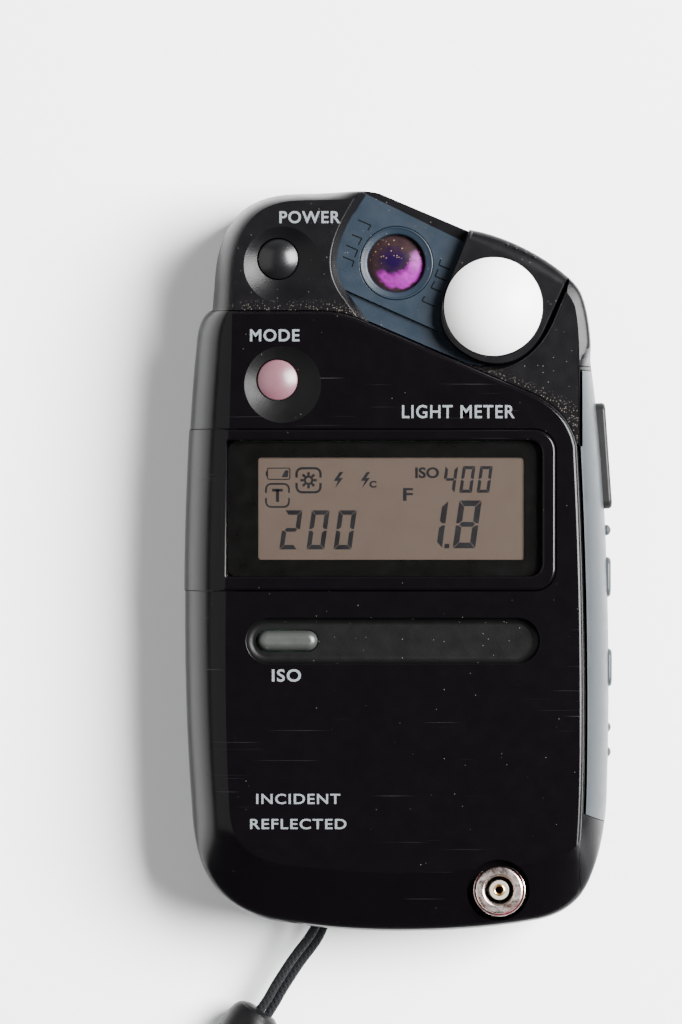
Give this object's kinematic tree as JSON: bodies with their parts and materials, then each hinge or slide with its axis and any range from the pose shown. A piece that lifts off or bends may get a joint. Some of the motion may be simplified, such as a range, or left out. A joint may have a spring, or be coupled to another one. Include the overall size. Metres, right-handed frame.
{
  "type": "handheld light meter",
  "caption": "Handheld exposure meter with a sliding dome over a spot lens, digital display, push buttons, flash sync terminal, cell door and wrist strap.",
  "frame": {"origin": "middle of the case outline, on the flat back that the meter lies on", "axes": "+Z out of the display face, +Y towards the sensor end, +X towards the measuring button"},
  "size_m": [0.0666, 0.205, 0.0222],
  "materials": {
    "case_satin": "fine satin moulded black",
    "case_gloss": "glossy moulded black with hairline scratches",
    "side_grey": "satin blue-grey",
    "button_dark": "satin dark grey",
    "button_black": "glossy black",
    "button_pink": "satin mauve pink",
    "window": "clear acrylic",
    "mask": "black printed border",
    "lcd": "warm grey liquid crystal cell",
    "elastomer": "striped conductive rubber",
    "circuit_board": "green solder mask",
    "nickel": "satin nickel plate",
    "gold": "gold flash",
    "panel_blue": "satin slate blue",
    "lens": "coated glass with a magenta reflection",
    "dome": "translucent white",
    "red_ring": "red",
    "insulator": "cream",
    "battery_case": "printed metal jacket",
    "cord": "braided nylon",
    "bead": "moulded black",
    "tie": "black rubber band"
  },
  "bodies": {
    "case": {"rear_cover": "case_satin", "front_cover": "case_gloss", "head_cover": "case_satin", "display_bezel": "case_gloss", "side_panel": "side_grey", "display_window": "window", "display_mask": "mask", "lcd_glass": "lcd", "upper_lcd_connector": "elastomer", "lower_lcd_connector": "elastomer", "power_switch": "nickel", "mode_switch": "nickel", "iso_switch": "nickel", "measuring_switch": "nickel", "up_switch": "nickel", "down_switch": "nickel", "main_board": "circuit_board", "sensor_board": "circuit_board", "key_board": "circuit_board", "lens_panel": "panel_blue", "reflected_lens": "lens", "lens_ring": "panel_blue", "photodiode": "nickel", "sync_sleeve": "nickel", "sync_gasket": "red_ring", "sync_insulator": "insulator", "sync_contact": "gold", "sync_nut": "nickel", "aa_battery": "battery_case", "battery_contact": "nickel", "battery_spring": "nickel", "case_screw_1": "nickel", "case_screw_2": "nickel", "case_screw_3": "nickel", "case_screw_4": "nickel", "strap_pin": "nickel", "strap_loop": "cord", "strap_bead": "bead", "strap_strand_out": "cord", "strap_strand_back": "cord", "strap_hank": "cord", "hank_tie": "tie"},
    "carriage": {"slider_carriage": "case_satin", "lumisphere": "dome"},
    "power": {"power_button": "button_black"},
    "mode": {"mode_button": "button_pink"},
    "iso": {"iso_button": "button_dark"},
    "measure": {"measuring_button": "button_dark"},
    "up": {"up_key": "side_grey"},
    "down": {"down_key": "side_grey"},
    "door": {"battery_door": "case_satin"}
  },
  "joints": [
    {"name": "carriage_slide", "type": "slide", "parent": "case", "child": "carriage", "axis": [-0.9135, 0.4067, 0], "range_m": [0, 0.0157]},
    {"name": "power_press", "type": "slide", "parent": "case", "child": "power", "axis": [0, 0, -1], "range_m": [0, 0.0005], "stiffness_N_per_m": 1000, "springref_m": -0.0005},
    {"name": "mode_press", "type": "slide", "parent": "case", "child": "mode", "axis": [0, 0, -1], "range_m": [0, 0.0005], "stiffness_N_per_m": 1000, "springref_m": -0.0005},
    {"name": "iso_press", "type": "slide", "parent": "case", "child": "iso", "axis": [0, 0, -1], "range_m": [0, 0.0005], "stiffness_N_per_m": 1000, "springref_m": -0.0005},
    {"name": "measure_press", "type": "slide", "parent": "case", "child": "measure", "axis": [-1, 0, 0], "range_m": [0, 0.0006], "stiffness_N_per_m": 1000, "springref_m": -0.0005},
    {"name": "up_press", "type": "slide", "parent": "case", "child": "up", "axis": [-1, 0, 0], "range_m": [0, 0.0004], "stiffness_N_per_m": 1000, "springref_m": -0.0005},
    {"name": "down_press", "type": "slide", "parent": "case", "child": "down", "axis": [-1, 0, 0], "range_m": [0, 0.0004], "stiffness_N_per_m": 1000, "springref_m": -0.0005},
    {"name": "door_slide", "type": "slide", "parent": "case", "child": "door", "axis": [0, -1, 0], "range_m": [0, 0.012]}
  ]
}
